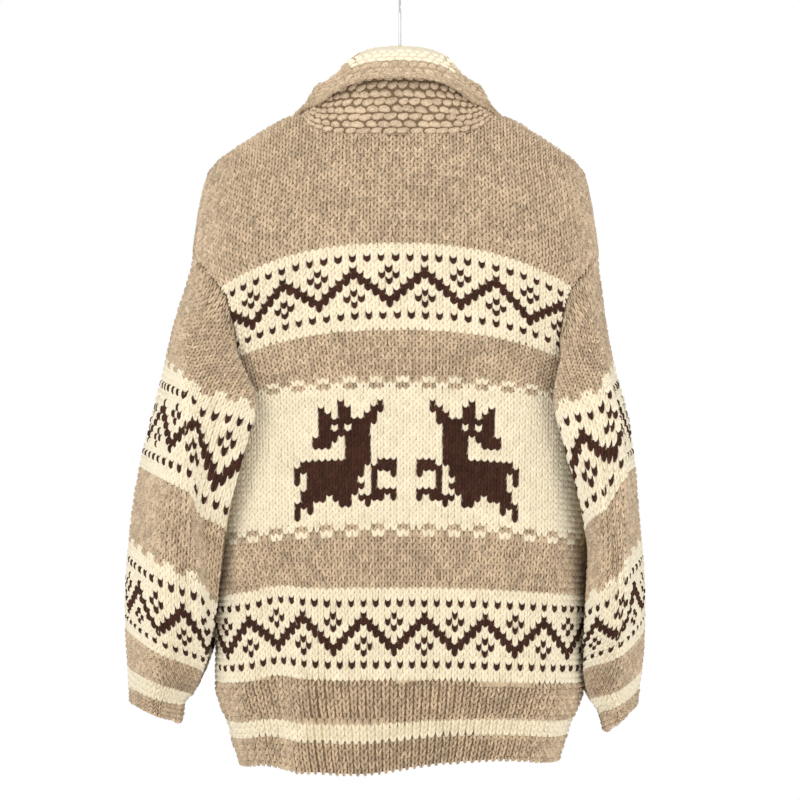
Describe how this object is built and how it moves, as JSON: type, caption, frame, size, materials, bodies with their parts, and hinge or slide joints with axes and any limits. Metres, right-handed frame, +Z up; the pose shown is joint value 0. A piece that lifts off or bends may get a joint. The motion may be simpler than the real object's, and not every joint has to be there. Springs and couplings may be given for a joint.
{
  "type": "cowichan cardigan on a wooden hanger",
  "caption": "Bulky patterned hand-knit cardigan with a shawl collar and buttoned front, hung on a curved wooden hanger with a wire hook.",
  "frame": {"origin": "inner top of the hook's loop, where a rail carries it", "axes": "+Z up, the back of the cardigan faces -Y, the wearer's left is -X"},
  "size_m": [0.575, 0.2068, 0.883],
  "materials": {
    "wool": "bulky heather wool with cream and dark brown motifs",
    "horn": "dark mottled button, satin",
    "beech": "lacquered wood",
    "steel_wire": "plain wire"
  },
  "bodies": {
    "root": {"back": "wool", "left_front": "wool", "right_front": "wool", "left_sleeve": "wool", "right_sleeve": "wool", "collar": "wool", "button_band": "wool", "buttonhole_band": "wool", "button_1": "horn", "button_2": "horn", "button_3": "horn", "button_4": "horn", "button_5": "horn", "hanger": "beech", "hook": "steel_wire"}
  },
  "joints": []
}
